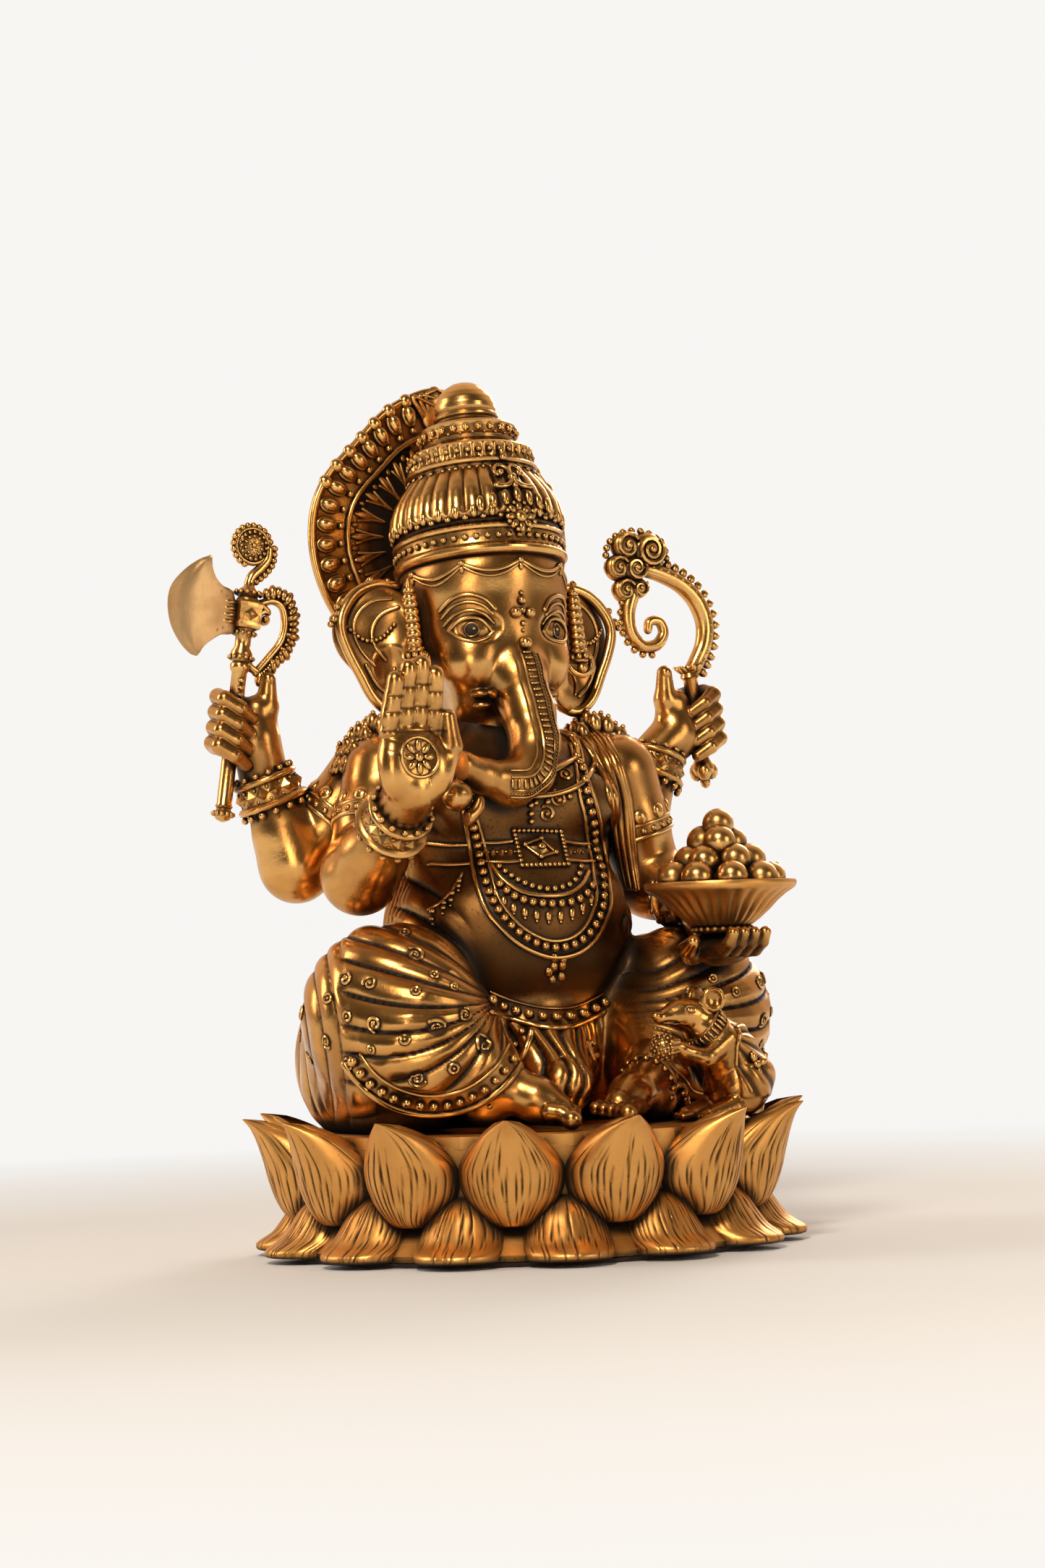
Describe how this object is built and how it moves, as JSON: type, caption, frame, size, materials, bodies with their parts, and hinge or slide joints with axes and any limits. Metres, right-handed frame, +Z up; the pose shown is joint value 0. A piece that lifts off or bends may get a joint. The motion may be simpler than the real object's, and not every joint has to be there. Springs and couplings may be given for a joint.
{
  "type": "seated deity figurine",
  "caption": "Seated elephant-headed, four-armed deity figurine with halo, axe, goad and bowl of sweets, on a round lotus pedestal with a felt base.",
  "frame": {"origin": "middle of the felt pad's underside, where the figurine stands", "axes": "+Z up, the figure faces -Y, its right hand side is -X"},
  "size_m": [0.2178, 0.1924, 0.3029],
  "materials": {
    "antique_brass": "polished brass with dark brown patina in the hollows",
    "felt": "dark felt",
    "zinc_steel": "zinc plated"
  },
  "bodies": {
    "root": {"axe_blade": "antique_brass", "axe_bracket": "antique_brass", "axe_scroll": "antique_brass", "axe_shaft": "antique_brass", "base_pad": "felt", "bowl": "antique_brass", "crown": "antique_brass", "figure_stud": "zinc_steel", "goad": "antique_brass", "halo": "antique_brass", "halo_screw": "zinc_steel", "head": "antique_brass", "left_back_arm": "antique_brass", "left_back_bracelet": "antique_brass", "left_back_hand": "antique_brass", "left_ear": "antique_brass", "left_ear_tassel": "antique_brass", "left_foot": "antique_brass", "left_front_arm": "antique_brass", "left_front_bracelet": "antique_brass", "left_front_hand": "antique_brass", "left_leg": "antique_brass", "lotus_drum": "antique_brass", "lower_petals": "antique_brass", "mouse": "antique_brass", "mouse_sweet": "antique_brass", "right_back_arm": "antique_brass", "right_back_bracelet": "antique_brass", "right_back_hand": "antique_brass", "right_ear": "antique_brass", "right_ear_tassel": "antique_brass", "right_foot": "antique_brass", "right_front_arm": "antique_brass", "right_front_bracelet": "antique_brass", "right_front_hand": "antique_brass", "right_leg": "antique_brass", "stud_nut": "zinc_steel", "stud_washer": "zinc_steel", "sweets_pile": "antique_brass", "torso": "antique_brass", "trunk_sweet": "antique_brass", "upper_petals": "antique_brass"}
  },
  "joints": []
}
